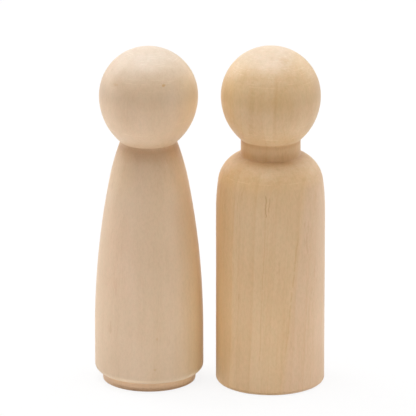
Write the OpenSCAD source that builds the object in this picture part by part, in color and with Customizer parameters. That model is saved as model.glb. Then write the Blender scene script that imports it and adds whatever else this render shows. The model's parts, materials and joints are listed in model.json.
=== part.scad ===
// A pair of turned wooden peg dolls that stand side by side: one in a long
// skirt and one with a neck and straight sides. Each doll is one piece of
// wood, so each is one profile turned about an upright axis.
// Millimetres, +Z up, the dolls face -Y, origin on the floor at the pair's middle.

/* [Pair] */
// Free space between the two dolls where they stand
pair_gap = 3.3; // [1:0.1:20]
// How far the skirted doll stands behind the straight one
set_back = 1.4; // [0:0.1:10]

/* [Straight doll] */
// Height from the base to the top of the head
man_height = 90.8; // [80:0.2:110]
// Radius of the upper half of the head
man_head_radius = 13; // [11.5:0.1:14.2]
// Radius of the arc that draws the lower half of the head in to the neck
man_jaw_radius = 15.5; // [14.5:0.1:18]
// Radius of the neck
man_neck_radius = 7.8; // [6:0.1:9]
// Height of the neck between the head and the shoulders
man_neck_height = 4.2; // [1:0.1:9]
// Radius of the shoulders' round
man_shoulder_radius = 8.5; // [5:0.1:12]
// Radius of the long arc that eases the shoulders into the straight side
man_side_radius = 65; // [45:1:120]
// Height from the straight side up to the crease between shoulders and neck
man_shoulder_height = 15.5; // [11:0.1:22]
// Radius of the body at its base
man_body_radius = 14.25; // [13.5:0.05:15.5]
// Radius of the worn edge round the base
man_base_edge = 1.2; // [0.4:0.1:3]

/* [Skirted doll] */
// Height from the base to the top of the head
woman_height = 90.3; // [80:0.2:110]
// Radius of the upper half of the head
woman_head_radius = 12.9; // [11.5:0.1:14.2]
// Radius of the arc that draws the lower half of the head in to the neckline
woman_jaw_radius = 16.3; // [15:0.1:18]
// Radius of the neckline crease, where the head meets the dress
woman_neckline_radius = 7.35; // [6:0.05:9]
// Radius of the arc of the dress under the neckline
woman_bodice_radius = 65; // [30:1:100]
// How much longer the radius of the skirt's side is than that of one single
// arc from the neckline down, as a share of the single arc's radius
woman_skirt_flatness_share = 0.1; // [0.03:0.01:0.4]
// Height at which the skirt's side becomes straight
woman_skirt_height = 13.5; // [8:0.5:24]
// Radius of the skirt at its widest
woman_skirt_radius = 14.25; // [13.5:0.05:15.5]
// Radius of the hem's round, which is how far the foot is cut in under it
woman_hem_radius = 2.05; // [1:0.05:3]
// Height of the foot
woman_foot_height = 2.4; // [1:0.1:4]
// Radius of the worn edge round the foot
woman_foot_edge = 0.4; // [0.2:0.1:0.9]

/* [Hidden] */
// Straight steps that draw each large round of a profile, and each worn edge
round_steps = 20;
edge_steps = 6;
// Flats that draw a turn about the axis
$fn = 180;

// The colours of the two pieces of wood
man_wood = [0.83, 0.70, 0.54];
woman_wood = [0.86, 0.74, 0.63];

// Where the two dolls stand
pair_width = 2 * woman_skirt_radius + pair_gap + 2 * man_body_radius;
woman_place = [woman_skirt_radius - pair_width / 2, set_back / 2, 0];
man_place = [pair_width / 2 - man_body_radius, -set_back / 2, 0];

// A profile is a list of points [distance from the axis, height], from the
// base up. A round of it stops one step short of its end, because what comes
// next starts there.
function round_points(centre, radius, first, last, steps) = [
    for (i = [0:steps - 1])
        let (angle = first + (last - first) * i / steps)
            centre + radius * [cos(angle), sin(angle)]
];
function angle_to(centre, point) = atan2(point.y - centre.y, point.x - centre.x);

// A head is a quarter round, and under it a longer arc. That arc's centre lies
// past the axis at the same height, so the two meet upright at the widest ring.
function head_centre(height, head_radius) = [0, height - head_radius];
function jaw_centre(height, head_radius, jaw_radius) =
    [head_radius - jaw_radius, height - head_radius];
// The jaw's lower end, at a given distance from the axis
function jaw_end(centre, radius, reach) =
    [reach, centre.y - sqrt(radius ^ 2 - (reach - centre.x) ^ 2)];
function head_points(height, head_radius, jaw_middle, jaw_radius, jaw_foot) = concat(
    round_points(jaw_middle, jaw_radius, angle_to(jaw_middle, jaw_foot), 0, round_steps),
    round_points(head_centre(height, head_radius), head_radius, 0, 90, round_steps),
    [[0, height]]
);

// A side is a long arc that starts upright, and then a rounder arc that
// touches it from inside and ends at a given point. This is the centre of the
// rounder arc, which lies as far from the long arc's centre as the radii differ.
function upper_centre(long_middle, long_radius, upper_radius, end_point) =
    let (
        between = long_radius - upper_radius,
        span = norm(end_point - long_middle),
        ahead = (end_point - long_middle) / span,
        along = (between ^ 2 - upper_radius ^ 2 + span ^ 2) / (2 * span),
        aside = sqrt(between ^ 2 - along ^ 2)
    )
    long_middle + along * ahead + aside * [ahead.y, -ahead.x];
function side_points(long_middle, long_radius, upper_radius, end_point) =
    let (
        upper_middle = upper_centre(long_middle, long_radius, upper_radius, end_point),
        touch_angle = angle_to(long_middle, upper_middle)
    )
    concat(
        round_points(long_middle, long_radius, 0, touch_angle, round_steps),
        round_points(upper_middle, upper_radius, touch_angle,
            angle_to(upper_middle, end_point), round_steps)
    );

// The straight doll: a worn base edge, a straight side, shoulders, a neck and a head
man_jaw_middle = jaw_centre(man_height, man_head_radius, man_jaw_radius);
man_neck_top = jaw_end(man_jaw_middle, man_jaw_radius, man_neck_radius);
man_neck_foot = man_neck_top - [0, man_neck_height];
man_side_middle =
    [man_body_radius - man_side_radius, man_neck_foot.y - man_shoulder_height];
man_points = concat(
    [[0, 0]],
    round_points([man_body_radius - man_base_edge, man_base_edge], man_base_edge,
        -90, 0, edge_steps),
    [[man_body_radius, man_base_edge]],
    side_points(man_side_middle, man_side_radius, man_shoulder_radius, man_neck_foot),
    [man_neck_foot],
    head_points(man_height, man_head_radius, man_jaw_middle, man_jaw_radius, man_neck_top)
);

// The skirted doll: a foot, a hem that rounds in to it, a skirt that narrows
// all the way up to the neckline, and a head that sits straight on it
woman_jaw_middle = jaw_centre(woman_height, woman_head_radius, woman_jaw_radius);
woman_neckline = jaw_end(woman_jaw_middle, woman_jaw_radius, woman_neckline_radius);
woman_skirt_side = [woman_skirt_radius, woman_skirt_height];
// One arc alone, upright at the skirt's side, would reach the neckline with this radius
woman_single_radius =
    norm(woman_neckline - woman_skirt_side) ^ 2 / (2 * (woman_skirt_side.x - woman_neckline.x));
woman_long_radius = woman_single_radius * (1 + woman_skirt_flatness_share);
woman_long_middle = [woman_skirt_radius - woman_long_radius, woman_skirt_height];
woman_foot_radius = woman_skirt_radius - woman_hem_radius;
woman_hem_middle = [woman_foot_radius, woman_foot_height + woman_hem_radius];
woman_points = concat(
    [[0, 0]],
    round_points([woman_foot_radius - woman_foot_edge, woman_foot_edge], woman_foot_edge,
        -90, 0, edge_steps),
    [[woman_foot_radius, woman_foot_edge]],
    round_points(woman_hem_middle, woman_hem_radius, -90, 0, edge_steps),
    [[woman_skirt_radius, woman_hem_middle.y]],
    side_points(woman_long_middle, woman_long_radius, woman_bodice_radius, woman_neckline),
    head_points(woman_height, woman_head_radius, woman_jaw_middle, woman_jaw_radius,
        woman_neckline)
);

// The doll in a long skirt
module woman_doll() {
    color(woman_wood) translate(woman_place) rotate_extrude() polygon(woman_points);
}

// The doll with a neck and straight sides
module man_doll() {
    color(man_wood) translate(man_place) rotate_extrude() polygon(man_points);
}

woman_doll();
man_doll();
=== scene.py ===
# %% [markdown]
# # A pair of turned wooden peg dolls
# Two plain blanks of pale hardwood stand side by side: one in a long skirt, and
# one with a neck and straight sides. Each is a single piece of wood, turned on a
# lathe, sanded and left bare, so the lesson is about a good turned form, and
# about wood that looks like wood from every side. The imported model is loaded
# first: it says where each doll stands and how big it is.

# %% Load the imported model
import json
import math

import bpy
import numpy as np
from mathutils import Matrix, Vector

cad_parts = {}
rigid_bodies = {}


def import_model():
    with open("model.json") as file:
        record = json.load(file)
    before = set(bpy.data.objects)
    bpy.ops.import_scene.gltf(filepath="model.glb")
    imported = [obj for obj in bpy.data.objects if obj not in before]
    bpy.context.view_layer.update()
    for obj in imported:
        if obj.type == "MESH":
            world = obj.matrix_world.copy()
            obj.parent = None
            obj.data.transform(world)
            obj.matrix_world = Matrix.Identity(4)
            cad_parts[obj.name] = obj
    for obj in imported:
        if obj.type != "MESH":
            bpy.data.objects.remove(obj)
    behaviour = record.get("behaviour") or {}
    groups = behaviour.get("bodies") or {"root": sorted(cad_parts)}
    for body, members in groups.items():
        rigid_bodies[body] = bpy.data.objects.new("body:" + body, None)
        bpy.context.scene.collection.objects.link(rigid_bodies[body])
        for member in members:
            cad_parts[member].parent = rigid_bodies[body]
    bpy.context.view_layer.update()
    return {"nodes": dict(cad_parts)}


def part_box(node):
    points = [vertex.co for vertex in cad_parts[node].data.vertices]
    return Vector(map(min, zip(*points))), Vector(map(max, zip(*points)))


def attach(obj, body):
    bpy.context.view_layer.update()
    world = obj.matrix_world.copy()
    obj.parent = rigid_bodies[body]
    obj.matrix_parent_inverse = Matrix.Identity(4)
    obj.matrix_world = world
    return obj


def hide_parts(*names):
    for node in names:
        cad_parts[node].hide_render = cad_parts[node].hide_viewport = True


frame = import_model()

MM = 0.001
DOLLS = {"woman_doll": "woman", "man_doll": "man"}
scene = bpy.context.scene

# %% [markdown]
# ## Reading the lathe profile
# A turner works from a template: the outline of one half of the piece. The CAD
# model has the same outline, as rings of points round an upright axis, so the
# template is read from those rings and never typed again. If a size changes in
# the model, the dolls here follow it.

# %% The template of a turned node
def axis_of(node):
    """Where a turned node's axis stands on the floor."""
    low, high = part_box(node)
    return np.array([(low.x + high.x) / 2, (low.y + high.y) / 2])


def template(node):
    """The outline [reach, height] of a turned node, from the base's middle to the crown."""
    points = np.array([vertex.co for vertex in frame["nodes"][node].data.vertices])
    reach = np.hypot(*(points[:, :2] - axis_of(node)).T)
    # Points within a thousandth of a millimetre in height lie on the same ring
    level = np.round(points[:, 2] / MM, 3)
    rings = [[reach[level == height].max(), height * MM] for height in np.unique(level)]
    # The base starts on the axis and the crown ends on it, so that both close
    return np.array([[0.0, rings[0][1]], *rings[:-1], [0.0, rings[-1][1]]])


for node in DOLLS:
    outline = template(node)
    print(node, "template:", len(outline), "points, widest", round(outline[:, 0].max() / MM, 2), "mm")

# %% [markdown]
# ## A smooth line through the template
# The template's rounds are short straight steps, and bare steps would show as
# faint bands in raking light. A Subdivision Surface would soften them, but it
# would shrink the form and melt the grooves too. So the outline itself is made
# smooth, one stretch at a time. A stretch ends at a groove, where the outline
# turns inwards: under the head, at the foot of the neck and under the hem.

# %% Where the outline turns inwards
GROOVE_TURN = math.radians(5)


def directions(points):
    """Unit vectors along the steps of a line."""
    steps = np.diff(points, axis=0)
    return steps / np.linalg.norm(steps, axis=1)[:, None]


def grooves(points):
    """The indexes where the outline turns inwards."""
    along = directions(points)
    turn = along[:-1, 0] * along[1:, 1] - along[:-1, 1] * along[1:, 0]
    return [int(i) + 1 for i in np.where(turn < -math.sin(GROOVE_TURN))[0]]


for node in DOLLS:
    outline = template(node)
    print(node, "grooves at [reach, height] in mm:", (outline[grooves(outline)] / MM).round(1).tolist())

# %% [markdown]
# A stretch becomes a Hermite curve, which goes through every point and leaves
# it in a given direction. The direction at a point is that of the line between
# its two neighbours, which on an arc of even steps is exactly right. The two
# ends have one neighbour only, so they mirror the direction beside them.

# %% The smooth curve
def mirrored(vector, about):
    """A unit vector on the other side of the unit vector about."""
    return 2 * np.dot(vector, about) * about - vector


def tangents_of(points):
    """The direction of the curve at each point."""
    along = directions(points)
    if len(points) < 3:
        return np.repeat(along, 2, axis=0)
    inner = points[2:] - points[:-2]
    inner = inner / np.linalg.norm(inner, axis=1)[:, None]
    return np.vstack([mirrored(inner[0], along[0]), inner, mirrored(inner[-1], along[-1])])


def smooth_line(points, step):
    """A curve through every point, sampled about every step."""
    tangents = tangents_of(points)
    line = [points[:1]]
    for a, b, leave, arrive in zip(points, points[1:], tangents, tangents[1:]):
        length = np.linalg.norm(b - a)
        t = np.linspace(0, 1, max(2, round(length / step) + 1))[1:, None]
        from_a = (2 * t**3 - 3 * t**2 + 1) * a + (t**3 - 2 * t**2 + t) * length * leave
        to_b = (3 * t**2 - 2 * t**3) * b + (t**3 - t**2) * length * arrive
        line.append(from_a + to_b)
    return np.vstack(line)


def travelled(points):
    """How far along the line each point lies."""
    return np.r_[0, np.cumsum(np.linalg.norm(np.diff(points, axis=0), axis=1))]


for node in DOLLS:
    print(node, "outline is", round(travelled(template(node))[-1] / MM, 1), "mm long")

# %% [markdown]
# A gouge leaves a groove crisp but not razor sharp. So the two stretches at a
# groove stop a little short of its corner, and a tiny curve joins them. At the
# end, the points are spread evenly, so that the faces come out nearly square.

# %% The whole outline
ROW_STEP = 0.36 * MM
FINE_STEP = ROW_STEP / 8
BASE_STEP = 1.2 * MM
GROOVE_ROUND = 0.16 * MM
GROOVE_POINTS = 6


def evened(points, step):
    """The same line with its points about one step apart."""
    reached = travelled(points)
    marks = np.linspace(0, reached[-1], max(2, round(reached[-1] / step) + 1))
    return np.column_stack([np.interp(marks, reached, points[:, i]) for i in (0, 1)])


def drawn_back(end, neighbour):
    """The end of a stretch, moved towards its neighbour by the size of the groove's round."""
    return end + (neighbour - end) * GROOVE_ROUND / np.linalg.norm(neighbour - end)


def rounded_groove(corner, before, after):
    """A small curve that eases one stretch into the next."""
    t = np.linspace(0, 1, GROOVE_POINTS)[:, None]
    return (1 - t) ** 2 * before + 2 * t * (1 - t) * corner + t**2 * after


def turned_outline(node):
    """The full smooth outline of a doll, from the base's middle up to the crown."""
    points = template(node)
    ends = [1, *grooves(points), len(points) - 1]
    parts = [evened(points[:2], BASE_STEP)[:-1]]
    for first, last in zip(ends, ends[1:]):
        line = evened(smooth_line(points[first : last + 1], FINE_STEP), ROW_STEP)
        if last != ends[-1]:
            line[-1] = drawn_back(line[-1], line[-2])
        if first != ends[0]:
            line[0] = drawn_back(line[0], line[1])
            parts.append(rounded_groove(points[first], parts[-1][-1], line[0])[1:-1])
        parts.append(line)
    return np.vstack(parts)


for node in DOLLS:
    print(node, "smooth outline:", len(turned_outline(node)), "points")

# %% [markdown]
# ## Turning the outline
# A doll is what its outline sweeps while the wood spins. That is a rule, so
# Geometry Nodes make it. A Screw modifier could sweep the outline too, but a
# tree of nodes also adds what the lathe leaves in the surface, and its sizes
# are inputs with names, so that each doll can have its own.

# %% The turning tree and its inputs
INPUT_KINDS = {int: "NodeSocketInt", float: "NodeSocketFloat", tuple: "NodeSocketVector"}
ORIGIN = (0, 0, 0)


def new_group(name, kind, inputs):
    """A node group and its inputs: each label has a default value, or the kind of its socket."""
    tree = bpy.data.node_groups.new(name, kind)
    for label, default in inputs.items():
        socket_type = INPUT_KINDS.get(type(default), default)
        socket = tree.interface.new_socket(label, in_out="INPUT", socket_type=socket_type)
        if socket_type != default:
            socket.default_value = default
    return tree, tree.nodes.new("NodeGroupInput").outputs


turning_inputs = {"Outline": "NodeSocketGeometry", "Columns": 256, "Axis": ORIGIN}
turning_inputs |= {"Ring Height": 0.0, "Ring Width": 0.001, "Sanding Height": 0.0, "Sanding Width": 0.01}
turning_inputs |= {"Wood": "NodeSocketMaterial"}
turning, given = new_group("turn_on_the_lathe", "GeometryNodeTree", turning_inputs)
print("the lathe is set by:", ", ".join(turning_inputs))

# %% [markdown]
# The body starts as a flat grid, one unit wide and long and centred on zero. It
# has a row for each point of the outline, and a column for each small turn. So
# the place of a grid point says both its angle round the axis and which point
# of the outline it belongs to.

# %% A grid that knows its angles and its rows
def add(tree, kind, inputs=(), **settings):
    """A new node whose inputs are filled with values or with other nodes' outputs."""
    made = tree.nodes.new(kind)
    for name, value in settings.items():
        setattr(made, name, value)
    for key, value in dict(inputs).items():
        if isinstance(value, bpy.types.NodeSocket):
            tree.links.new(value, made.inputs[key])
        else:
            made.inputs[key].default_value = value
    return made


def tree_of(values):
    """The node tree of the first socket among some values."""
    return next(value.id_data for value in values if isinstance(value, bpy.types.NodeSocket))


def math_node(operation, *values):
    """The output of a Math node, made in the tree that its values come from."""
    return add(tree_of(values), "ShaderNodeMath", enumerate(values), operation=operation).outputs[0]


def plus(a, b):
    """The sum of two values."""
    return math_node("ADD", a, b)


def minus(a, b):
    """The first value less the second."""
    return math_node("SUBTRACT", a, b)


def times(first, *others):
    """The product of several values."""
    for value in others:
        first = math_node("MULTIPLY", first, value)
    return first


def parts_of(vector):
    """The X, Y and Z of a vector."""
    return add(vector.id_data, "ShaderNodeSeparateXYZ", {0: vector}).outputs


rows = add(turning, "GeometryNodeAttributeDomainSize", {"Geometry": given["Outline"]}).outputs["Point Count"]
columns = plus(given["Columns"], 1)
grid_size = {"Size X": 1, "Size Y": 1, "Vertices X": columns, "Vertices Y": rows}
grid = add(turning, "GeometryNodeMeshGrid", grid_size)
position = add(turning, "GeometryNodeInputPosition").outputs[0]
place = parts_of(position)
angle = times(plus(place["X"], 0.5), 2 * math.pi)
row = times(plus(place["Y"], 0.5), minus(rows, 1))
print("nodes up to the angle and the row:", len(turning.nodes))

# %% [markdown]
# Each grid point looks up its own point of the outline, and its angle lays it
# round the axis. The first and last columns meet in a seam, and each end row
# falls together in one point on the axis. Merging closes the seam and the poles.

# %% The grid laid round the axis
MERGE = 0.001 * MM


def vector_node(operation, *values):
    """The output of a Vector Math node."""
    return add(tree_of(values), "ShaderNodeVectorMath", enumerate(values), operation=operation).outputs[0]


def vector_of(x, y, z=0.0):
    """A vector made of its parts."""
    return add(x.id_data, "ShaderNodeCombineXYZ", {"X": x, "Y": y, "Z": z}).outputs[0]


looked_up = {"Geometry": given["Outline"], "Value": position, "Index": math_node("ROUND", row)}
sampled = add(turning, "GeometryNodeSampleIndex", looked_up, data_type="FLOAT_VECTOR", domain="POINT")
outline_point = parts_of(sampled.outputs[0])
right = times(outline_point["X"], math_node("COSINE", angle))
back = times(outline_point["X"], math_node("SINE", angle))
laid = vector_node("ADD", vector_of(right, back, outline_point["Z"]), given["Axis"])
turned = add(turning, "GeometryNodeSetPosition", {"Geometry": grid.outputs["Mesh"], "Position": laid})
closed = add(turning, "GeometryNodeMergeByDistance", {"Geometry": turned.outputs[0], "Distance": MERGE})
print("nodes up to the closed body:", len(turning.nodes))

# %% [markdown]
# The tool and the sandpaper leave their traces in the form: rings and soft
# waves, a few hundredths of a millimetre high. Both are noise that moves the
# surface along its normal. The rings follow the height minus the reach, so that
# they are rings on the crown as well as on the side. The base is left flat, so
# that a doll stands firmly.

# %% What the lathe and the sandpaper leave
BASE_CLEAR = 0.05 * MM


def length_of(vector):
    """How long a vector is."""
    return add(vector.id_data, "ShaderNodeVectorMath", {0: vector}, operation="LENGTH").outputs["Value"]


def scaled(vector, factor):
    """A vector made a number of times as long."""
    inputs = {0: vector, "Scale": factor}
    return add(vector.id_data, "ShaderNodeVectorMath", inputs, operation="SCALE").outputs[0]


def over(a, b):
    """The first value divided by the second."""
    return math_node("DIVIDE", a, b)


def noise(point, scale, detail=2.0, roughness=0.5):
    """A noise between 0 and 1; the scale is one number, or one for each axis."""
    if not isinstance(scale, float):
        point, scale = vector_node("MULTIPLY", point, scale), 1.0
    settings = {"Vector": point, "Scale": scale, "Detail": detail, "Roughness": roughness}
    return add(point.id_data, "ShaderNodeTexNoise", settings).outputs["Fac"]


def line_noise(along, scale=1.0, detail=2.0):
    """A noise between 0 and 1 that changes along one value only."""
    settings = {"W": along, "Scale": scale, "Detail": detail}
    return add(along.id_data, "ShaderNodeTexNoise", settings, noise_dimensions="1D").outputs["Fac"]


in_doll = vector_node("SUBTRACT", position, given["Axis"])
sides = parts_of(in_doll)
height_less_reach = minus(sides["Z"], length_of(vector_of(sides["X"], sides["Y"])))
rings = line_noise(over(height_less_reach, given["Ring Width"]))
waves = noise(scaled(in_doll, over(1, given["Sanding Width"])), 1.0, detail=1.0)
ring_rise = times(minus(rings, 0.5), given["Ring Height"])
wave_rise = times(minus(waves, 0.5), given["Sanding Height"])
off_base = math_node("GREATER_THAN", sides["Z"], BASE_CLEAR)
rise = times(plus(ring_rise, wave_rise), off_base)
lift = scaled(add(turning, "GeometryNodeInputNormal").outputs[0], rise)
print("nodes up to the surface's rise:", len(turning.nodes))

# %% [markdown]
# The tree ends with smooth shading, so that light sees no faces, and with real
# geometry that has its wood set, because that is what an export can read.

# %% Smooth, real and wooden
OUTPUT_KINDS = {"GEOMETRY": "NodeSocketGeometry", "VECTOR": "NodeSocketVector", "VALUE": "NodeSocketFloat"}


def put_out(tree, values):
    """Gives a group its outputs, a label for each value, and says what it is made of."""
    for label, value in values.items():
        tree.interface.new_socket(label, in_out="OUTPUT", socket_type=OUTPUT_KINDS[value.type])
    result = tree.nodes.new("NodeGroupOutput").inputs
    for label, value in values.items():
        tree.links.new(value, result[label])
    print(tree.name, "puts out", ", ".join(values), "from", len(tree.nodes), "nodes")


marked = add(turning, "GeometryNodeSetPosition", {"Geometry": closed.outputs[0], "Offset": lift})
smooth = add(turning, "GeometryNodeSetShadeSmooth", {"Geometry": marked.outputs[0]})
real = add(turning, "GeometryNodeRealizeInstances", {"Geometry": smooth.outputs[0]})
wooden = add(turning, "GeometryNodeSetMaterial", {"Geometry": real.outputs[0], "Material": given["Wood"]})
put_out(turning, {"Body": wooden.outputs[0]})

# %% [markdown]
# ## Wood that runs all the way through
# Real grain isn't painted on a surface. It is the solid wood that the surface
# happens to cut, so a ball shows loops where a straight side shows stripes. A
# picture wrapped round the doll would stretch at the crown and end at a seam.
# So the patterns here are solid: each is a rule about points in the block, in
# millimetres from the doll's own axis, and the turned surface cuts through it.
# Each is a node group with named inputs, which both dolls share and set for
# their own planks. The first group finds a point's place in its doll: how far
# to the right, to either side, out from the axis, and up from the floor.

# %% The place in a doll
groups = {}


def wood_group(name, inputs):
    """A new shader node group and its inputs; the group is kept by its name."""
    groups[name], given = new_group(name, "ShaderNodeTree", inputs)
    return groups[name], given


tree, given = wood_group("place_in_doll", {"Object": ORIGIN, "Axis": ORIGIN})
point = scaled(vector_node("SUBTRACT", given["Object"], given["Axis"]), 1 / MM)
sides = parts_of(point)
aside = math_node("ABSOLUTE", sides["X"])
reach = length_of(vector_of(sides["X"], sides["Y"]))
put_out(tree, {"Point": point, "Across": sides["X"], "Aside": aside, "Reach": reach, "Height": sides["Z"]})

# %% [markdown]
# A tree adds a ring each year: pale, quick wood in spring and a thin darker
# line in autumn. The dolls are cut well away from the middle of the tree, the
# pith, so the rings cross them as long, almost flat sheets that lean a little.
# The group measures the distance from the pith, and gives the thin line and a
# tone of its own for each year. A noise bends the rings, and a slower one makes
# some years wider than others.

# %% Growth rings
BEND_SCALE = (0.11, 0.11, 0.018)
GOOD_YEARS_SCALE = 0.37
GOOD_YEARS_SHARE = 2.2
AUTUMN_SHARPNESS = 5


def ramp(value, low, high):
    """The value stretched so that low becomes 0 and high becomes 1, eased and held there."""
    inputs = {"Value": value, "From Min": low, "From Max": high}
    return add(value.id_data, "ShaderNodeMapRange", inputs, interpolation_type="SMOOTHSTEP").outputs["Result"]


def stood_up(point, lean):
    """The point, shifted so that wood whose grain leans stands upright."""
    return vector_node("SUBTRACT", point, scaled(lean, parts_of(point)["Z"]))


tree, given = wood_group(
    "growth_rings", {"Point": ORIGIN, "Lean": ORIGIN, "Pith": (-60, 0, 0), "Year Width": 2.5, "Waver": 0.8}
)
upright = stood_up(given["Point"], given["Lean"])
from_pith = vector_node("SUBTRACT", upright, given["Pith"])
distance = length_of(vector_node("MULTIPLY", from_pith, (1, 1, 0)))
bend = minus(noise(upright, BEND_SCALE), 0.5)
distance = plus(distance, times(bend, given["Waver"], 2))
years = over(distance, given["Year Width"])
good_years = line_noise(years, GOOD_YEARS_SCALE, detail=1)
years = plus(years, times(good_years, GOOD_YEARS_SHARE))
season = math_node("FRACT", years)
late = math_node("POWER", season, AUTUMN_SHARPNESS)
line = times(late, ramp(season, 1.0, 0.94))
tone = add(tree, "ShaderNodeTexWhiteNoise", {"W": math_node("FLOOR", years)}, noise_dimensions="1D")
put_out(tree, {"Autumn Line": line, "Year Tone": tone.outputs["Value"]})

# %% [markdown]
# Between the rings, the wood is a bundle of fibres that run up the doll. They
# show as soft stripes and as short, hair-fine streaks. A noise that is squeezed
# across the grain and stretched along it gives both, at two sizes, with the same
# lean as the rings. The streaks come and go as a slow noise lets them.

# %% Fibres
HAIR_LENGTH_SHARE = 0.3
PATCH_SCALE = (0.3, 0.3, 0.03)


def grain_scale(width, length):
    """The scale of a pattern with this width across the grain and this length along it."""
    across = over(1, width)
    return vector_of(across, across, over(1, length))


tree, given = wood_group(
    "fibres", {"Point": ORIGIN, "Lean": ORIGIN, "Stripe Width": 3.0, "Hair Width": 0.4, "Length": 60.0}
)
upright = stood_up(given["Point"], given["Lean"])
stripe_scale = grain_scale(given["Stripe Width"], given["Length"])
hair_scale = grain_scale(given["Hair Width"], times(given["Length"], HAIR_LENGTH_SHARE))
stripe = ramp(noise(upright, stripe_scale, detail=2.5, roughness=0.6), 0.3, 0.8)
hair = ramp(noise(upright, hair_scale, detail=2.5, roughness=0.6), 0.35, 0.75)
patch = ramp(noise(upright, PATCH_SCALE, detail=1), 0.38, 0.62)
put_out(tree, {"Stripe": stripe, "Hair": times(hair, patch)})

# %% [markdown]
# Pale hardwood has pores too fine to see one by one, but here and there a few
# show as short brown flecks along the grain. They are the cells of a stretched
# Voronoi pattern, each with a size of its own, and a slow noise decides in
# which patches any show at all.

# %% Flecks
FLECK_EDGE = 0.42
FLECK_CORE = 0.05

tree, given = wood_group("flecks", {"Point": ORIGIN, "Width": 0.5, "Length": 3.0, "Plenty": 0.5})
fine = vector_node("MULTIPLY", given["Point"], grain_scale(given["Width"], given["Length"]))
cells = add(tree, "ShaderNodeTexVoronoi", {"Vector": fine, "Scale": 1.0}).outputs
size = add(tree, "ShaderNodeSeparateColor", {0: cells["Color"]}).outputs["Red"]
fleck = ramp(cells["Distance"], times(size, FLECK_EDGE), FLECK_CORE)
patch = noise(given["Point"], (0.16, 0.16, 0.05), detail=1)
chosen = ramp(plus(patch, given["Plenty"]), 0.95, 1.15)
put_out(tree, {"Fleck": times(fleck, chosen)})

# %% [markdown]
# No plank has one even tone either. Wide clouds, a mottle and a fine speckle
# are plain noises, each with its own scale for each axis.

# %% Clouds, mottle and speckle
tree, given = wood_group("uneven_tone", {"Point": ORIGIN, "Wide": ORIGIN, "Middle": ORIGIN, "Fine": ORIGIN})
cloud = ramp(noise(given["Point"], given["Wide"]), 0.35, 0.7)
mottle = ramp(noise(given["Point"], given["Middle"], detail=4, roughness=0.62), 0.3, 0.7)
speckle = ramp(noise(given["Point"], given["Fine"]), 0.42, 0.62)
put_out(tree, {"Cloud": cloud, "Mottle": mottle, "Speckle": speckle})

# %% [markdown]
# The lathe also leaves hair-thin pale circles, where the tool or the sandpaper
# caught a fibre. They run round the doll, and break off after a short way.

# %% Traces of the lathe
tree, given = wood_group("lathe_traces", {"Point": ORIGIN, "Reach": 0.0, "Spacing": 0.5, "Plenty": 0.5})
height_less_reach = minus(parts_of(given["Point"])["Z"], given["Reach"])
circles = line_noise(over(height_less_reach, given["Spacing"]), detail=1.5)
patch = noise(given["Point"], (0.3, 0.3, 1.1), detail=1)
chosen = ramp(plus(patch, given["Plenty"]), 0.98, 1.12)
put_out(tree, {"Trace": times(ramp(circles, 0.56, 0.74), chosen)})

# %% [markdown]
# End grain is wood cut across its fibres. It takes the light like a bundle of
# straws seen end on, so it's darker and rougher. Under the base it is sawn and
# left, while on the crown and the shoulders it is sanded almost to nothing, so
# the group tells surfaces that face down from those that face up. Where the
# fibres come up at a slant, they take up sanding dust unevenly, in faint warm
# and pale blotches. Tilt is 0 on an upright side and 1 where the surface leans,
# up or down: there the lathe's traces show best.

# %% End grain
BLOTCH_FLATNESS = 1.7

end_inputs = {"Normal": ORIGIN, "Point": ORIGIN, "Starts At": 0.6, "Blotch Size": 2.4}
tree, given = wood_group("end_grain", end_inputs)
up = parts_of(given["Normal"])["Z"]
slant = ramp(up, 0.15, 0.55)
blotch_scale = grain_scale(given["Blotch Size"], over(given["Blotch Size"], BLOTCH_FLATNESS))
blotch = noise(given["Point"], blotch_scale, detail=2.5, roughness=0.6)
faces = {
    "Sawn Base": ramp(up, -0.9, -0.99),
    # Surfaces that face up: the sanded end grain, and on the skirted doll also a cool painted highlight
    "Sanded Top And Highlight": ramp(up, given["Starts At"], 1.0),
    "Tilt": ramp(math_node("ABSOLUTE", up), 0.12, 0.5),
    "Warm Blotch": times(slant, ramp(blotch, 0.50, 0.64)),
    "Pale Blotch": times(slant, ramp(blotch, 0.48, 0.34)),
}
put_out(tree, faces)

# %% [markdown]
# A pin knot is the trace of a bud: a small brown spot with a ragged edge. The
# same rule, made large and faint, gives the soft warm and pale patches that any
# plank has, and one painted highlight on the skirted doll's head. A spot has a
# place and a size of its own, so its group asks for both.

# %% Pin knots and soft patches
RAGGED_SCALE = 1.4

knot_inputs = {"Point": ORIGIN, "Place": (0, -12, 80), "Size": (0.5, 0.5, 0.5), "Ragged": 0.4}
tree, given = wood_group("pin_knot", knot_inputs)
away = vector_node("SUBTRACT", given["Point"], given["Place"])
distance = length_of(vector_node("DIVIDE", away, given["Size"]))
ragged = minus(noise(given["Point"], RAGGED_SCALE), 0.5)
distance = plus(distance, times(ragged, given["Ragged"], 2))
put_out(tree, {"Knot": ramp(distance, 1.25, 0.35)})

# %% [markdown]
# A grain line is a dark hair along the grain, and sometimes it opens into a
# fine crack that drying left, called a check. The group draws a line from a foot
# to a top on the front or the back. It wanders a little, eases off at both
# ends, and a noise breaks it here and there.

# %% Grain lines and checks
BREAKS_SCALE = 0.5

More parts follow.
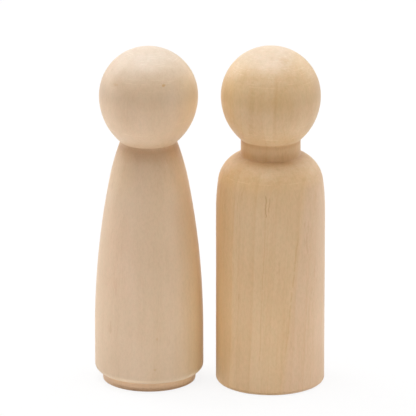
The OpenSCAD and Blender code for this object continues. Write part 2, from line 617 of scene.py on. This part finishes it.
line_inputs = {"Point": ORIGIN, "Foot": (0, -14, 10), "Top": (0, -14, 50), "Width": 0.3}
line_inputs |= {"Wave": 0.3, "Wave Length": 8.0, "Breaks": 0.3}
tree, given = wood_group("grain_line", line_inputs)
here, foot, top = (parts_of(given[label]) for label in ("Point", "Foot", "Top"))
rise = over(minus(here["Z"], foot["Z"]), minus(top["Z"], foot["Z"]))
slope = times(rise, minus(top["X"], foot["X"]))
wander = minus(line_noise(over(here["Z"], given["Wave Length"])), 0.5)
wander = times(wander, given["Wave"], 2)
path = plus(plus(foot["X"], slope), wander)
beside = math_node("ABSOLUTE", minus(here["X"], path))
thin = ramp(over(beside, given["Width"]), 1.0, 0.2)
within = times(ramp(rise, -0.06, 0.06), ramp(rise, 1.06, 0.94))
unbroken = minus(line_noise(here["Z"], BREAKS_SCALE), given["Breaks"])
same_side = math_node("GREATER_THAN", times(here["Y"], foot["Y"]), 0)
put_out(tree, {"Line": times(thin, within, ramp(unbroken, 0.1, 0.3), same_side)})

# %% [markdown]
# Under the head the grooves lie in shade, and that shade is painted into the
# wood: the colour there is made darker and browner. The group measures how near
# a point is to a ring of a given reach and height.

# %% Painted shade in the grooves
groove_inputs = {"Reach": 0.0, "Height": 0.0, "Ring Reach": 8.0, "Ring Height": 65.0, "Width": 1.5}
tree, given = wood_group("painted_groove_shade", groove_inputs)
outward = minus(given["Reach"], given["Ring Reach"])
upward = minus(given["Height"], given["Ring Height"])
near = over(length_of(vector_of(outward, upward)), given["Width"])
put_out(tree, {"Groove Shade": ramp(near, 1.0, 0.0)})

# %% [markdown]
# ## The two pieces of wood
# Both dolls are bare and matte, so a material is mostly the wood's colour, and
# each pattern is a tint on it: a stain of the wood, or painted light and shade.
# Colours are written as they look on a screen, from 0 to 255, and turned into the
# light values that shaders work with. A wood in the making keeps its colour so
# far, and where a point lies in its doll.

# %% The start of a wood
def screen_colour(red, green, blue):
    """A colour given as it looks on a screen, as the light values of a shader."""
    levels = [value / 255 for value in (red, green, blue)]
    light = [v / 12.92 if v <= 0.04045 else ((v + 0.055) / 1.055) ** 2.4 for v in levels]
    return (*light, 1.0)


def pattern(wood, name, own=()):
    """A group's outputs by label; its inputs come from the place in the doll, and then from own."""
    labels = [item.name for item in groups[name].interface.items_tree if item.in_out == "INPUT"]
    inputs = {label: wood.place[label] for label in labels if label in wood.place}
    if not isinstance(own, dict):
        own = dict(zip([label for label in labels if label not in inputs], own))
    outputs = add(wood.tree, "ShaderNodeGroup", inputs | own, node_tree=groups[name]).outputs
    return {socket.name: socket for socket in outputs}


class Wood:
    """A doll's material in the making, with its masks and the place of a point in the doll."""

    def __init__(self, name, node, colour):
        self.material = bpy.data.materials.new(name)
        self.material.use_nodes = True
        self.tree = self.material.node_tree
        self.colour = colour
        self.masks = {}
        here = add(self.tree, "ShaderNodeTexCoord").outputs
        self.place = {"Object": here["Object"], "Normal": here["Normal"], "Axis": (*axis_of(node), 0)}
        self.place |= pattern(self, "place_in_doll")


woman_wood = Wood("pale_pinkish_birch", "woman_doll", screen_colour(231, 203, 172))
man_wood = Wood("straw_coloured_birch", "man_doll", screen_colour(230, 197, 155))
for wood in (woman_wood, man_wood):
    print(wood.material.name, "starts as", [round(value, 3) for value in wood.colour[:3]])

# %% [markdown]
# A tint multiplies the colour where its mask is 1: it is a stain of the wood, or
# light and shade painted into it. The tint's three numbers say how much it lets
# through of red, green and blue. Both planks have the same kinds of figure, each
# in sizes of its own, so one function asks the groups for their masks. Rings and
# fibres fade where end grain was sanded.

# %% The figure of a plank
# The Mix node's amount and its two colours, and its mixed colour, by their places in the node
MIX_AMOUNT, MIX_COLOUR, MIX_TINT, MIXED = 0, 6, 7, 2
TOP_FADE = 0.75


def stain_or_paint_light(wood, tint, mask):
    """Multiplies the wood's colour by a tint where the mask is 1."""
    inputs = {MIX_AMOUNT: mask, MIX_COLOUR: wood.colour, MIX_TINT: (*tint, 1.0)}
    mix = add(wood.tree, "ShaderNodeMix", inputs, data_type="RGBA", blend_type="MULTIPLY")
    wood.colour = mix.outputs[MIXED]


def figure(wood, plank, tints, grain_shows=1.0):
    """Stains a wood with its plank's figure, or paints light on the faces that look up, and keeps the masks.
    """
    masks = wood.masks
    for name, sizes in plank.items():
        masks |= pattern(wood, name, sizes)
    side = times(minus(1, times(masks["Sanded Top And Highlight"], TOP_FADE)), grain_shows)
    masks["Raised Hair"] = masks["Hair"]
    masks["Trace"] = times(masks["Trace"], masks["Tilt"])
    for name in ("Year Tone", "Autumn Line", "Stripe", "Hair"):
        masks[name] = times(masks[name], side)
    for name, tint in tints.items():
        stain_or_paint_light(wood, tint, masks[name])
    print(wood.material.name, "is figured by:", ", ".join(tints))


print("groups to ask for masks:", ", ".join(groups))

# %% [markdown]
# ### The skirted doll
# This doll is from a pale, pinkish plank with hardly any figure: every tint is
# within a few hundredths of 1, apart from the flecks, the lathe's pale circles,
# the sawn base, and the paler, cooler tint of surfaces that face up, which is a
# painted highlight from the light above.

# %% The skirted doll's figure
WOMAN_LEAN = (0.02, 0.0, 0)
WOMAN_PLANK = {
    "growth_rings": {"Lean": WOMAN_LEAN, "Pith": (22, 58, 0), "Year Width": 3.4, "Waver": 1.6},
    "fibres": {"Lean": WOMAN_LEAN, "Stripe Width": 3.4, "Hair Width": 0.42, "Length": 70.0},
    "flecks": {"Width": 0.5, "Length": 2.2, "Plenty": 0.36},
    "uneven_tone": {"Wide": (0.12, 0.12, 0.09), "Middle": (0.9, 0.9, 0.5), "Fine": (2.6, 2.6, 1.1)},
    "lathe_traces": {"Spacing": 0.5, "Plenty": 0.5},
    "end_grain": {"Starts At": 0.45, "Blotch Size": 2.6},
}
WOMAN_TINTS = {
    "Cloud": (0.98, 0.967, 0.947),
    "Mottle": (0.965, 0.99, 0.975),
    "Speckle": (0.97, 0.96, 0.95),
    "Year Tone": (0.992, 0.986, 0.98),
    "Autumn Line": (0.98, 0.967, 0.945),
    "Stripe": (0.98, 0.973, 0.958),
    "Hair": (0.972, 0.958, 0.937),
    "Fleck": (0.93, 0.89, 0.84),
    "Trace": (1.07, 1.10, 1.13),
    "Warm Blotch": (0.977, 0.963, 0.945),
    "Pale Blotch": (1.02, 1.035, 1.05),
    # Painted highlight: surfaces that face up are made paler and cooler, as light from above
    "Sanded Top And Highlight": (0.92, 0.99, 1.12),
    "Sawn Base": (0.84, 0.77, 0.69),
}
figure(woman_wood, WOMAN_PLANK, WOMAN_TINTS)

# %% [markdown]
# The right half of this doll is tinted a little greyer. Towards its right edge,
# which faces the other doll, the colour is painted paler and yellower: painted
# light from between the dolls. Light and shade are painted up and down the head
# and collar too: a paler, cooler crown, darker crown's sides, brow and head's
# edge, and paler temples, cheeks and collar's sides. There is painted shade in
# the hem band and painted light on the foot, and the skirt is darker towards the
# bottom. The pink stripe on the left of the skirt is the wood's own tone. Such
# tints have no pattern, so each says in millimetres where it lies: two numbers
# for where it starts and where it is full, and two more if it ends again.

# %% The skirted doll's shades
def zone(wood, stretches):
    """1 within all the stretches, easing to 0 outside them."""
    eased = []
    for name, (start, full, *rest) in stretches.items():
        eased.append(ramp(wood.place[name], start, full))
        if rest:
            full_to, end = rest
            eased.append(ramp(wood.place[name], end, full_to))
    return times(*eased)


def shade(wood, shades):
    """Paints light and shade into a wood, and some tones of its own; each has a tint and the stretches where
    it lies.
    """
    for tint, stretches in shades.values():
        stain_or_paint_light(wood, tint, zone(wood, stretches))
    print(wood.material.name, "has the shades:", ", ".join(shades))


WOMAN_PAINTED_LIGHT_AND_TONES = {
    "grey right half": ((0.98, 0.985, 0.97), {"Across": (-3, 3)}),
    # Painted light: the right side and edge, which face the other doll, made paler and yellower
    "straw right side": ((1.05, 1.06, 1.0), {"Across": (6, 12)}),
    "pale right edge": ((1.09, 1.10, 1.06), {"Across": (9.8, 13.6)}),
    "pink stripe": ((1.055, 1.04, 1.055), {"Across": (-12, -9.5, -6, -2), "Height": (22, 30, 43, 52)}),
    # Painted highlight on the crown, and painted shade and light down the head and collar
    "crown": ((1.0, 1.02, 1.05), {"Height": (85.5, 89.8)}),
    "crown's sides": ((0.95, 0.95, 0.955), {"Aside": (4, 9), "Height": (82, 86)}),
    "brow": ((0.925, 0.935, 0.95), {"Height": (77.5, 80.5, 85, 88)}),
    "head's edge": ((0.955, 0.95, 0.955), {"Aside": (9.5, 12.5), "Height": (74, 78, 85, 88)}),
    "temples": ((1.03, 1.035, 1.04), {"Aside": (4, 7, 10, 12.5), "Height": (70, 73, 80, 83)}),
    "cheeks": ((1.075, 1.07, 1.07), {"Height": (66, 70, 76, 78.5)}),
    "collar's sides": ((1.045, 1.05, 1.03), {"Aside": (2.5, 5.5), "Height": (50, 57, 63, 64.2)}),
    # Darker towards the bottom of the skirt
    "low skirt": ((0.945, 0.957, 0.972), {"Height": (2.3, 2.8, 5, 25)}),
    # Painted shade in the hem band, and painted light from the paper on the foot
    "hem": ((0.96, 0.975, 0.985), {"Height": (2.3, 2.6, 3.4, 5)}),
    "foot": ((1.06, 1.01, 0.96), {"Height": (2.4, 2.1)}),
}
shade(woman_wood, WOMAN_PAINTED_LIGHT_AND_TONES)

# %% [markdown]
# Then come the marks that have one place: a pin knot on the forehead, a faint
# one beside it, two specks low on the skirt, a soft warm patch and a painted
# highlight on the head, and painted shade along the neckline and under the chin.
# Below the chin, a wider ring of painted shade stands for the head's shadow, and
# the chin above it is left out.

# %% The skirted doll's marks
def put_marks(wood, name, marks):
    """Stains a wood with marks of a kind, or paints their shade; each has a tint, and then its group's own
    values.
    """
    for tint, *own in marks.values():
        for mask in pattern(wood, name, own).values():
            stain_or_paint_light(wood, tint, mask)
    print(wood.material.name, "has a", name, "at the places:", ", ".join(marks))


# Tint, place, size, and how ragged the edge is
WOMAN_SPOTS = {
    "pin knot": ((0.89, 0.73, 0.53), (4.0, -10.8, 83.2), (0.46, 0.7, 0.4), 0.6),
    "faint knot": ((0.95, 0.90, 0.83), (-8.4, -8.3, 82.7), (1.1, 1.2, 0.38), 0.8),
    "low speck": ((0.93, 0.88, 0.80), (2.2, -14.0, 15.3), (0.3, 0.5, 0.45), 0.9),
    "lower speck": ((0.93, 0.88, 0.80), (1.6, -14.0, 6.8), (0.4, 0.5, 0.4), 0.9),
    "warm patch": ((0.995, 0.98, 0.95), (-1.5, -12.2, 80.3), (6.0, 4.5, 3.8), 0.4),
    # Painted highlight on the upper left of the head
    "pale patch": ((1.015, 1.035, 1.055), (-5.0, -7.0, 87.0), (5.5, 5.5, 3.5), 0.4),
}
# Tint, the ring's reach and height, and the width of the painted shade
WOMAN_GROOVE_SHADE = {
    "neckline": ((0.915, 0.84, 0.755), 7.35, 63.8, 3.8),
    "chin line": ((0.92, 0.85, 0.78), 7.35, 64.1, 0.9),
}
UNDER_CHIN_SHADE_TINT = (0.93, 0.90, 0.87)
UNDER_CHIN_SHADE_RING = (7.35, 63.0, 14.0)

put_marks(woman_wood, "pin_knot", WOMAN_SPOTS)
put_marks(woman_wood, "painted_groove_shade", WOMAN_GROOVE_SHADE)
# Painted shade below the chin, standing for the head's shadow
under_chin_shade = pattern(woman_wood, "painted_groove_shade", UNDER_CHIN_SHADE_RING)["Groove Shade"]
below_chin = zone(woman_wood, {"Height": (64.2, 63.6)})
stain_or_paint_light(woman_wood, UNDER_CHIN_SHADE_TINT, times(under_chin_shade, below_chin))

# %% [markdown]
# Last, the shader gets the stained colour and the wood's feel. Bare sanded wood
# is dull, duller still along its raised hairs and on the sawn base. A trace of
# sheen stands for the down of cut fibres. A bump of two hundredths of a
# millimetre lifts the hairs and sinks the flecks: too fine to be worth
# modelling, but it breaks up the light.

# %% The skirted doll's feel
SHEEN = {"Sheen Weight": 0.04, "Sheen Roughness": 0.5}
BUMP = {"Distance": 0.02 * MM, "Strength": 0.6}
GRIT_SCALE = 3.0


def summed(wood, start, shares):
    """A start value, and to it a share of each named mask of the wood."""
    for name, share in shares.items():
        start = plus(start, times(wood.masks[name], share))
    return start


def finish_wood(wood, dullness, dulled, relief):
    """Fills the shader with the wood's colour, a roughness, and a bump of shares of masks."""
    wood.masks["Grit"] = noise(wood.place["Point"], GRIT_SCALE)
    bump = add(wood.tree, "ShaderNodeBump", {"Height": summed(wood, 0.0, relief)} | BUMP)
    surface = wood.tree.nodes["Principled BSDF"].inputs
    for label, value in SHEEN.items():
        surface[label].default_value = value
    wood.tree.links.new(wood.colour, surface["Base Color"])
    wood.tree.links.new(summed(wood, dullness, dulled), surface["Roughness"])
    wood.tree.links.new(bump.outputs["Normal"], surface["Normal"])
    print(wood.material.name, "has", len(wood.tree.nodes), "nodes")


WOMAN_DULLNESS = 0.46
WOMAN_DULLED = {"Raised Hair": 0.14, "Sawn Base": 0.25}
WOMAN_RELIEF = {"Raised Hair": 0.5, "Trace": 0.3, "Fleck": -0.8, "Grit": 0.3}
finish_wood(woman_wood, WOMAN_DULLNESS, WOMAN_DULLED, WOMAN_RELIEF)

# %% [markdown]
# ### The straight doll
# The other plank is yellower and shows its grain more: clearer stripes that
# lean to the right, and longer streaks. On the upper half of the head, sanding
# has worn the grain down to about half.

# %% The straight doll's figure
HEAD_WEAR = 0.55
MAN_LEAN = (0.045, 0.0, 0)
MAN_PLANK = {
    "growth_rings": {"Lean": MAN_LEAN, "Pith": (-62, 9, 0), "Year Width": 3.2, "Waver": 1.1},
    "fibres": {"Lean": MAN_LEAN, "Stripe Width": 3.0, "Hair Width": 0.38, "Length": 110.0},
    "flecks": {"Width": 0.42, "Length": 2.0, "Plenty": 0.38},
    "uneven_tone": {"Wide": (0.10, 0.10, 0.06), "Middle": (0.8, 0.8, 0.4), "Fine": (2.4, 2.4, 0.9)},
    "lathe_traces": {"Spacing": 0.45, "Plenty": 0.5},
    "end_grain": {"Starts At": 0.45, "Blotch Size": 2.2},
}
MAN_TINTS = {
    "Cloud": (0.98, 0.957, 0.92),
    "Mottle": (0.96, 0.99, 0.965),
    "Speckle": (0.965, 0.955, 0.94),
    "Year Tone": (0.985, 0.97, 0.945),
    "Autumn Line": (0.973, 0.947, 0.905),
    "Stripe": (0.97, 0.95, 0.915),
    "Hair": (0.97, 0.95, 0.917),
    "Fleck": (0.936, 0.896, 0.848),
    "Trace": (1.08, 1.11, 1.15),
    "Warm Blotch": (0.972, 0.955, 0.925),
    "Pale Blotch": (1.02, 1.04, 1.08),
    "Sawn Base": (0.82, 0.74, 0.65),
}
worn = times(zone(man_wood, {"Height": (74, 82)}), HEAD_WEAR)
figure(man_wood, MAN_PLANK, MAN_TINTS, minus(1, worn))

# %% [markdown]
# This plank is pinkish on its right. The border of the pink follows the leaning
# grain, so it is measured across the doll less a share of the height. Its left
# edge, which faces the other doll, is painted paler and straw-coloured: painted
# light from between the dolls. Light and shade are painted up and down the head,
# with painted shade on the neck and shoulders under the head, painted light on
# the left shoulder and painted light from the paper on the base edge. Low down,
# the body is darker towards the bottom and paler and bluer on its right. The
# crown is painted paler and cooler, and most so on the left: a painted highlight
# from above.

# %% The straight doll's shades
MAN_PAINTED_LIGHT_AND_TONES = {
    # Painted light: the left side and edge, which face the other doll, made paler and more straw-coloured
    "straw left side": ((1.03, 1.015, 0.975), {"Across": (-9.2, -10.4)}),
    "pale left edge": ((1.08, 1.09, 1.06), {"Across": (-11.6, -13.8)}),
    # Painted shade and light up and down the head; the yellow brow is a tone
    "crown's sides": ((0.95, 0.95, 0.92), {"Aside": (3, 8), "Height": (82, 86)}),
    "brow": ((0.955, 0.955, 0.96), {"Height": (76.5, 79.5, 85, 88)}),
    "yellow brow": ((0.985, 0.98, 0.94), {"Height": (76.5, 79, 82.5, 84.5)}),
    "head's edge": ((0.95, 0.945, 0.955), {"Aside": (9.5, 12.5), "Height": (76, 80, 85, 88)}),
    "left temple": ((1.055, 1.07, 1.05), {"Across": (-5, -11), "Height": (68, 71, 81, 84)}),
    "right temple": ((0.975, 0.965, 0.955), {"Across": (7, 12), "Height": (68, 71, 81, 84)}),
    # Painted shade on the neck and shoulders under the head, and painted light on the left shoulder
    "neck": ((0.975, 0.915, 0.805), {"Reach": (8.3, 7.95), "Height": (61.9, 62.3, 65.6, 66.8)}),
    "shoulders": ((0.985, 0.975, 0.945), {"Height": (54, 57, 61.5, 62.5)}),
    "left shoulder": ((1.06, 1.06, 1.05), {"Across": (2, -6), "Height": (53.5, 57, 61.5, 62.5)}),
    # Painted light on the low left edge, which faces the other doll
    "low left edge": ((1.03, 1.06, 1.08), {"Across": (-11.5, -13.8), "Height": (34, 26)}),
    # Paler and bluer low on the right side, and darker towards the bottom
    "low right side": ((1.03, 1.045, 1.085), {"Across": (8, 13), "Height": (24, 12)}),
    "low body": ((0.97, 0.98, 1.0), {"Height": (0.3, 3, 5, 22)}),
    # Painted light from the paper on the base edge
    "worn base edge": ((1.11, 1.12, 1.10), {"Height": (1.5, 0.3)}),
}
PINK_TINT = (1.0, 1.005, 1.11)
PINK_LEAN = 0.107
CROWN_PAINTED_HIGHLIGHT = (0.95, 1.06, 1.35)
CROWN_RIGHT_FADE = 0.55

shade(man_wood, MAN_PAINTED_LIGHT_AND_TONES)
leaned = minus(man_wood.place["Across"], times(man_wood.place["Height"], PINK_LEAN))
pink_side = times(ramp(leaned, 2.2, 4.2), zone(man_wood, {"Height": (61, 54)}))
stain_or_paint_light(man_wood, PINK_TINT, pink_side)
# Painted highlight: the crown made paler and cooler, less so on the right
right_fade = times(zone(man_wood, {"Across": (3, 8)}), CROWN_RIGHT_FADE)
crown = times(zone(man_wood, {"Height": (85, 90)}), minus(1, right_fade))
stain_or_paint_light(man_wood, CROWN_PAINTED_HIGHLIGHT, crown)

# %% [markdown]
# Its marks are soft patches on head and chest, two dark grain lines and two
# faint streaks that run up the wood, painted shade at the rings above and below
# the neck, and a small check in the chest that drying opened in two strokes.

# %% The straight doll's marks
# Tint, place, size, and how ragged the edge is
MAN_SPOTS = {
    "olive patch": ((0.985, 0.96, 0.90), (-4.0, -12.2, 79.0), (5.5, 4.0, 3.4), 0.5),
    "yellow patch": ((0.975, 0.955, 0.89), (2.6, -12.3, 78.6), (4.2, 4.0, 4.0), 0.4),
    "pale cheek": ((1.035, 1.045, 1.08), (6.5, -9.5, 72.5), (4.5, 4.0, 3.6), 0.4),
    "brown patch": ((0.94, 0.88, 0.79), (3.4, -5.6, 89.0), (1.7, 1.6, 1.3), 0.8),
    "chest patch": ((0.99, 0.965, 0.93), (-6.8, -11.8, 55.0), (5.0, 5.0, 5.5), 0.4),
}
# Tint, foot, top, width, wave, wave length, and how broken the line is
MAN_LINES = {
    "heart line": ((0.955, 0.915, 0.86), (-3.0, -14, 8), (-1.35, -14, 50), 0.26, 0.35, 9.0, 0.1),
    "side line": ((0.94, 0.89, 0.82), (3.9, -13, 12), (7.1, -13, 43), 0.3, 0.4, 11.0, 0.2),
    "head streak": ((0.965, 0.94, 0.895), (-5.2, -12, 70), (-4.9, -12, 83), 0.9, 0.3, 9.0, 0.1),
    "long streak": ((0.97, 0.945, 0.905), (0.7, -13, 67), (1.3, -13, 86), 0.7, 0.3, 9.0, 0.05),
}
# Tint, the ring's reach and height, and the width of the painted shade
MAN_GROOVE_SHADE = {
    "foot of the neck": ((0.92, 0.86, 0.79), 7.8, 62.9, 1.5),
    "top of the neck": ((0.93, 0.87, 0.80), 7.8, 65.9, 1.0),
}
CHECK_TINT = (0.82, 0.73, 0.61)
FIRST_STROKE = ((-1.4, -14, 49.0), (-1.3, -14, 54.6), 0.2, 0.45, 1.8, -0.2)
SECOND_STROKE = ((-0.6, -14, 50.5), (-0.4, -14, 54.0), 0.18, 0.45, 1.8, -0.2)
SECOND_DEPTH = 0.7

put_marks(man_wood, "pin_knot", MAN_SPOTS)
put_marks(man_wood, "grain_line", MAN_LINES)
put_marks(man_wood, "painted_groove_shade", MAN_GROOVE_SHADE)
first, second = (pattern(man_wood, "grain_line", own)["Line"] for own in (FIRST_STROKE, SECOND_STROKE))
man_wood.masks["Check"] = math_node("MAXIMUM", first, times(second, SECOND_DEPTH))
stain_or_paint_light(man_wood, CHECK_TINT, man_wood.masks["Check"])

# %% The straight doll's feel
MAN_DULLNESS = 0.44
MAN_DULLED = {"Raised Hair": 0.16, "Sawn Base": 0.25}
MAN_RELIEF = {"Raised Hair": 0.6, "Trace": 0.3, "Fleck": -0.8, "Check": -3.0, "Grit": 0.3}
finish_wood(man_wood, MAN_DULLNESS, MAN_DULLED, MAN_RELIEF)

# %% [markdown]
# ## Two dolls off the lathe
# Each outline becomes a line of points in a throwaway mesh, and a modifier with
# the turning tree makes the body from it. The modifier's inputs are filled
# first, by the identifiers of the tree's sockets. The result is kept as a plain
# mesh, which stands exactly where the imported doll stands.

# %% Turn both dolls
COLUMNS = 256


def turn_doll(node, name, wood, surface):
    """A doll's finished mesh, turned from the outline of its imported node."""
    points = [(reach, 0, height) for reach, height in turned_outline(node)]
    line = bpy.data.meshes.new(name + "_outline")
    line.from_pydata(points, [(i, i + 1) for i in range(len(points) - 1)], [])
    doll = bpy.data.objects.new(name, line)
    scene.collection.objects.link(doll)
    lathe = doll.modifiers.new("lathe", "NODES")
    lathe.node_group = turning
    filled = {"Columns": COLUMNS, "Axis": (*axis_of(node), 0), "Wood": wood.material}
    filled |= {label: size * MM for label, size in surface.items()}
    for item in turning.interface.items_tree:
        if item.in_out == "INPUT" and item.name in filled:
            lathe[item.identifier] = filled[item.name]
    evaluated = doll.evaluated_get(bpy.context.evaluated_depsgraph_get())
    finished = bpy.data.meshes.new_from_object(evaluated)
    doll.modifiers.remove(lathe)
    doll.data = finished
    bpy.data.meshes.remove(line)
    return doll


# In millimetres
WOMAN_SURFACE = {"Ring Height": 0.03, "Ring Width": 1.1, "Sanding Height": 0.10, "Sanding Width": 14}
MAN_SURFACE = {"Ring Height": 0.04, "Ring Width": 1.0, "Sanding Height": 0.10, "Sanding Width": 12}
woman = turn_doll("woman_doll", "woman_turned", woman_wood, WOMAN_SURFACE)
man = turn_doll("man_doll", "man_turned", man_wood, MAN_SURFACE)
for doll in (woman, man):
    print(doll.name, "has", sum(len(face.vertices) - 2 for face in doll.data.polygons), "triangles")

# %% [markdown]
# The imported model's two dolls stay as they are, for the physics, but they are
# hidden: each turned doll rides on the same body and stands for the imported one.

# %% The turned dolls take their places
for doll, node in ((woman, "woman_doll"), (man, "man_doll")):
    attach(doll, DOLLS[node])
    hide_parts(node)
    print(doll.name, "rides on", DOLLS[node], "and stands for", node)

# %% [markdown]
# ## The studio
# The dolls stand on white. A floor that lamps alone light up to white would
# throw so much light back that the wood would bleach. So the floor is two
# things: to the light it is plain pale paper, and to the camera it is darker
# paper that glows, just enough to reach white. The shadow is kept, because part
# of what the camera sees is still lit paper. Far from the dolls, where the
# lamps no longer reach, the glow grows to make up for them.

# %% The pale floor
FLOOR_HALF = 3.0
PAPER = (0.90, 0.90, 0.90, 1)
SEEN_PAPER = (0.12, 0.12, 0.12, 1)
NEAR_GLOW = 0.872
FAR_GLOW_MORE = 0.13
LAMPLIGHT_ENDS = (0.3, 1.2)
WHITE = (1, 1, 1, 1)


def seen_directly(tree):
    """1 for what the camera sees, also in a shiny or through a clear surface, and 0 for light."""
    ray = add(tree, "ShaderNodeLightPath").outputs
    direct = math_node("MAXIMUM", ray["Is Camera Ray"], ray["Is Glossy Ray"])
    return math_node("MAXIMUM", direct, ray["Is Transmission Ray"])


def paper_material():
    """Pale paper to the light, and glowing white to the camera."""
    paper = bpy.data.materials.new("white_paper")
    paper.use_nodes = True
    tree = paper.node_tree
    tree.nodes.remove(tree.nodes["Principled BSDF"])
    plain = add(tree, "ShaderNodeBsdfDiffuse", {"Color": PAPER})
    faint = add(tree, "ShaderNodeBsdfDiffuse", {"Color": SEEN_PAPER})
    away = length_of(add(tree, "ShaderNodeTexCoord").outputs["Object"])
    more = times(ramp(away, *LAMPLIGHT_ENDS), FAR_GLOW_MORE)
    glow_inputs = {"Color": WHITE, "Strength": math_node("ADD", more, NEAR_GLOW)}
    glow = add(tree, "ShaderNodeEmission", glow_inputs)
    seen = add(tree, "ShaderNodeAddShader", {0: faint.outputs[0], 1: glow.outputs[0]})
    both = add(tree, "ShaderNodeMixShader", {0: seen_directly(tree), 1: plain.outputs[0], 2: seen.outputs[0]})
    tree.links.new(both.outputs[0], tree.nodes["Material Output"].inputs["Surface"])
    return paper


corners = [(x * FLOOR_HALF, y * FLOOR_HALF, 0) for x, y in ((-1, -1), (1, -1), (1, 1), (-1, 1))]
sheet = bpy.data.meshes.new("paper_floor")
sheet.from_pydata(corners, [], [(0, 1, 2, 3)])
sheet.materials.append(paper_material())
floor = bpy.data.objects.new("paper_floor", sheet)
scene.collection.objects.link(floor)
print("floor:", 2 * FLOOR_HALF, "m square")

# %% [markdown]
# The world is the white room that the camera and reflections see. To the wood
# it gives only a dim, warm fill, like light that has gone round a room.

# %% The white room
ROOM_FILL = (1.0, 0.52, 0.35, 1)
ROOM_FILL_STRENGTH = 0.12

room = bpy.data.worlds.new("white_room")
scene.world = room
room.use_nodes = True
tree = room.node_tree
fill = add(tree, "ShaderNodeBackground", {"Color": ROOM_FILL, "Strength": ROOM_FILL_STRENGTH})
white = add(tree, "ShaderNodeBackground", {"Color": WHITE, "Strength": 1.0})
both = add(tree, "ShaderNodeMixShader", {0: seen_directly(tree), 1: fill.outputs[0], 2: white.outputs[0]})
tree.links.new(both.outputs[0], tree.nodes["World Output"].inputs["Surface"])
print("world:", room.name, "with a fill of", ROOM_FILL_STRENGTH)

# %% [markdown]
# Soft boxes give the light: large area lamps that the camera doesn't see. The
# larger a lamp, the softer its shadow. Three wide ones overhead give most of
# the light and are a touch cooler than the rest, like daylight. Two behind the
# dolls, one at each side, brighten their edges, and two weak ones in front lift
# the shade. Each is placed by angles round the dolls and faces their middle.

# %% Soft boxes
LAMP_AIM = np.array([0.0, 0.0, 0.045])
DAYLIGHT = (0.95, 1.0, 1.04)


def look_along(direction):
    """The turn that points a lamp or a camera along a direction."""
    x, y, z = direction
    return (math.acos(-z / math.sqrt(x * x + y * y + z * z)), 0, math.atan2(-x, y))


def around(turn, lift, away):
    """A place at an angle from the camera's side, to the right, and an angle above the floor."""
    turn, lift = math.radians(turn), math.radians(lift)
    direction = (math.sin(turn) * math.cos(lift), -math.cos(turn) * math.cos(lift), math.sin(lift))
    return LAMP_AIM + np.array(direction) * away


def soft_box(name, place, aim, width, depth, watts, colour=(1, 1, 1)):
    """A rectangular area lamp that hangs at a place and faces an aim."""
    lamp = bpy.data.lights.new(name, "AREA")
    lamp.shape = "RECTANGLE"
    lamp.size = width
    lamp.size_y = depth
    lamp.energy = watts
    lamp.color = colour
    box = bpy.data.objects.new(name, lamp)
    box.location = place
    box.rotation_euler = look_along(np.array(aim) - np.array(place))
    box.visible_camera = False
    scene.collection.objects.link(box)


# Turn and lift in degrees, distance, width and depth in metres, watts, and a colour unless white
SOFT_BOXES = {
    "roof_box": (0, 90, 1.0, 0.8, 0.8, 4.9, DAYLIGHT),
    "left_roof_box": (-90, 70, 1.0, 0.8, 0.8, 3.9, DAYLIGHT),
    "right_roof_box": (90, 70, 1.0, 0.8, 0.8, 2.6, DAYLIGHT),
    "left_back_box": (-128, 26, 0.8, 0.5, 0.5, 2.2),
    "right_back_box": (130, 28, 0.8, 0.5, 0.5, 1.25),
    "left_front_box": (-60, 15, 0.8, 0.5, 0.5, 0.33),
    "right_front_box": (60, 15, 0.8, 0.5, 0.5, 0.65),
}
for name, (turn, lift, away, *box) in SOFT_BOXES.items():
    soft_box(name, around(turn, lift, away), LAMP_AIM, *box)
print("soft boxes:", ", ".join(SOFT_BOXES))

# %% [markdown]
# White paper throws light back up, more than the plain floor does here. Four
# weak panels that lie on the floor and face up give that light, in front of the
# dolls and beside them. They lift the dark under the heads and the hem.

# %% Panels on the paper
PANEL_LIFT = 0.001

# Place to the right and to the back, width and depth in metres, and watts
PANELS = {
    "front_panel": (0, -0.075, 0.3, 0.11, 0.0088),
    "near_strip": (0, -0.03, 0.2, 0.05, 0.0073),
    "left_panel": (-0.11, -0.01, 0.14, 0.2, 0.0095),
    "right_panel": (0.11, -0.01, 0.14, 0.2, 0.0065),
}
for name, (right, back, *panel) in PANELS.items():
    soft_box(name, (right, back, PANEL_LIFT), (right, back, 1), *panel)
print("panels:", ", ".join(PANELS))

# %% [markdown]
# ## The camera
# It stands well back with a long lens, a good way above the dolls and tilted
# down to them. From that far the two dolls stand nearly upright in the frame
# and look equally big. The view transform is Standard, so that colours come out
# as they were written.

# %% The camera
CAMERA_AIM = np.array([-0.4235, -0.7, 47.134]) * MM
CAMERA_AWAY = 1700 * MM
CAMERA_DOWN = math.radians(17.41)
SENSOR_WIDTH = 36
LENS = 563.2
NEAREST, FARTHEST = 0.05, 50

view = bpy.data.cameras.new("camera")
view.sensor_width = SENSOR_WIDTH
view.lens = LENS
view.clip_start = NEAREST
view.clip_end = FARTHEST
camera = bpy.data.objects.new("camera", view)
backwards = np.array([0, -math.cos(CAMERA_DOWN), math.sin(CAMERA_DOWN)])
camera.location = CAMERA_AIM + backwards * CAMERA_AWAY
camera.rotation_euler = look_along(-backwards)
scene.collection.objects.link(camera)
scene.camera = camera
scene.view_settings.view_transform = "Standard"
print("camera at", [round(value, 4) for value in camera.location])
